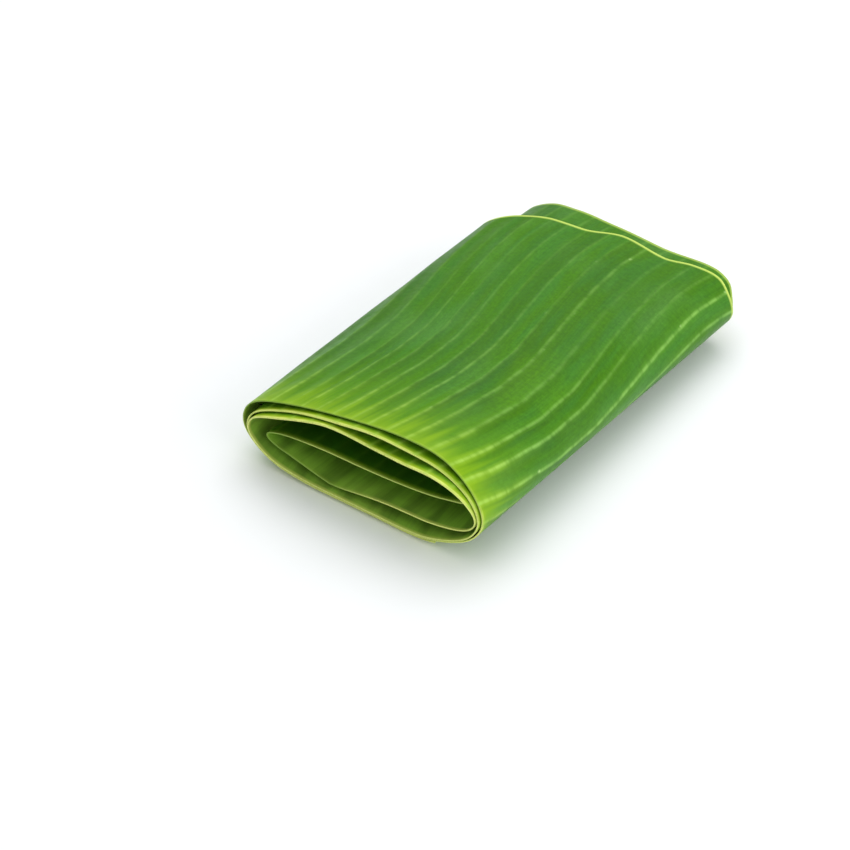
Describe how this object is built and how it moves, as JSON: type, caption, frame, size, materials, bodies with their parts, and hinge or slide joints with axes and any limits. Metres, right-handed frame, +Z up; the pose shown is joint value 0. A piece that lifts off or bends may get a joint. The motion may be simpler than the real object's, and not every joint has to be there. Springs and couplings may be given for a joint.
{
  "type": "banana leaf",
  "caption": "Fresh banana leaf blade, cut along its midrib and rolled flat into a soft packet with a wavy margin and a loose flap inside.",
  "frame": {"origin": "middle of the roll's bounding box at ground level", "axes": "+Z up, +Y along the roll and its veins from the cut edge to the leaf's own wavy margin, +X towards the roll's right-hand fold"},
  "size_m": [0.1778, 0.295, 0.0692],
  "materials": {
    "banana_leaf": "fresh green leaf with a thin wax gloss and paler veins"
  },
  "bodies": {
    "root": {"banana_leaf": "banana_leaf"}
  },
  "joints": []
}
